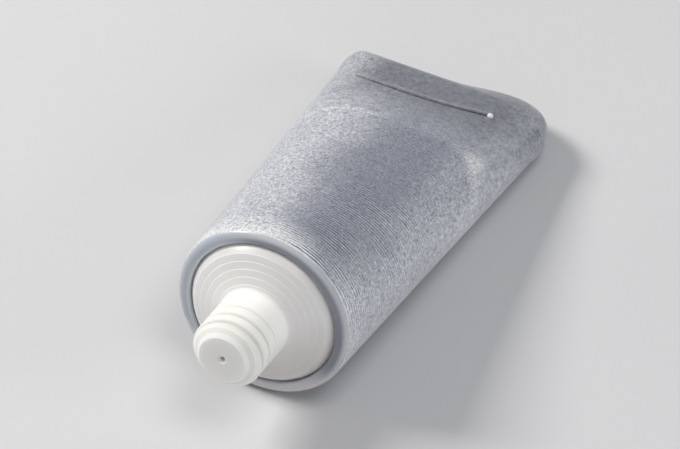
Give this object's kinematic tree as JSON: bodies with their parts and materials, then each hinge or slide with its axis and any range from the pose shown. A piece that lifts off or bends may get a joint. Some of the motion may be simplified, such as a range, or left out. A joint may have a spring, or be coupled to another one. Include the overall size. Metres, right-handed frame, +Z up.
{
  "type": "silicone squeeze tube",
  "caption": "Soft silicone squeeze tube, round at the head and pressed flat at the sealed end, with a stepped white shoulder and a threaded dispensing neck.",
  "frame": {"origin": "centre of the bounding box in plan, on the surface that the tube lies on", "axes": "+X along the tube toward the neck, +Y across the width of the flat end, +Z up"},
  "size_m": [0.0896, 0.0381, 0.0295],
  "materials": {
    "frosted_silicone": "translucent frosted grey-blue, with fine rings round the body",
    "white_plastic": "smooth white with a soft sheen"
  },
  "bodies": {
    "root": {"tube_body": "frosted_silicone", "tube_head": "white_plastic"}
  },
  "joints": []
}
